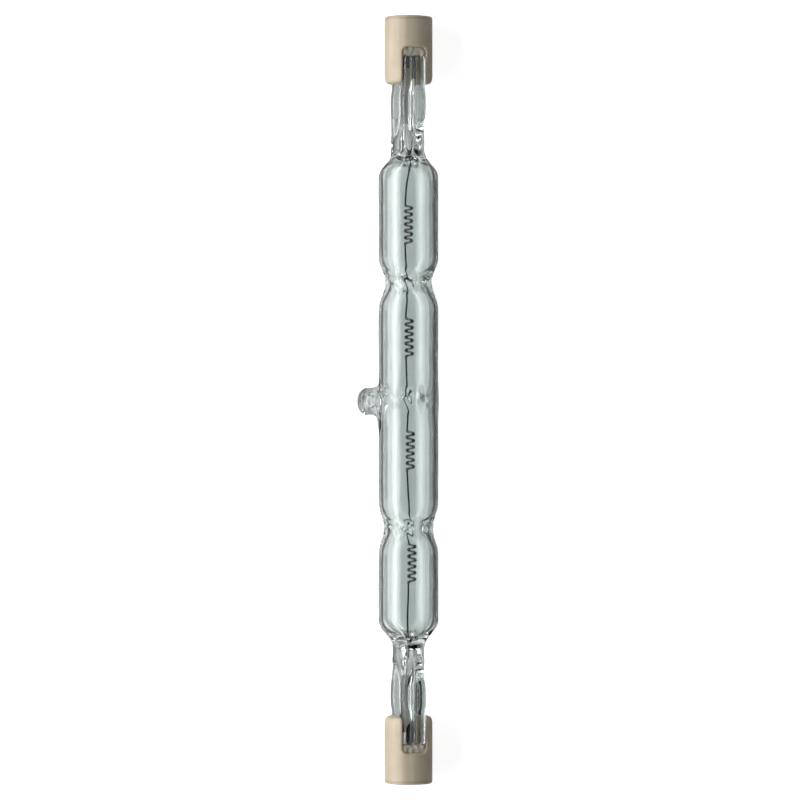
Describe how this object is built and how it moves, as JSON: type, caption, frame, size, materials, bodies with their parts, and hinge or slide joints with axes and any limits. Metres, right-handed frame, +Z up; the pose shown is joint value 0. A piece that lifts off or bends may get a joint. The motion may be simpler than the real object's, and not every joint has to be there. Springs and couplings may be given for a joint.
{
  "type": "linear halogen bulb",
  "caption": "Double-ended linear halogen bulb: quartz tube with necked chambers, an exhaust tip and a coiled filament, pressed seals, and slotted ceramic caps with recessed contacts.",
  "frame": {"origin": "on the table, under the middle of the box around the lamp as it lies", "axes": "+X along the lamp from its left end to its right end, +Y to the side away from the exhaust tip, +Z up"},
  "size_m": [0.1176, 0.0123, 0.0092],
  "materials": {
    "quartz": "clear, fire polished",
    "tungsten": "dull dark wire",
    "molybdenum": "satin",
    "cement": "rough, grainy",
    "steatite": "matte unglazed ceramic",
    "nickel": "satin"
  },
  "bodies": {
    "root": {"quartz_envelope": "quartz", "filament": "tungsten", "left_inner_lead": "molybdenum", "left_foil": "molybdenum", "left_outer_lead": "molybdenum", "left_cement": "cement", "left_cap": "steatite", "left_contact": "nickel", "right_inner_lead": "molybdenum", "right_foil": "molybdenum", "right_outer_lead": "molybdenum", "right_cement": "cement", "right_cap": "steatite", "right_contact": "nickel"}
  },
  "joints": []
}
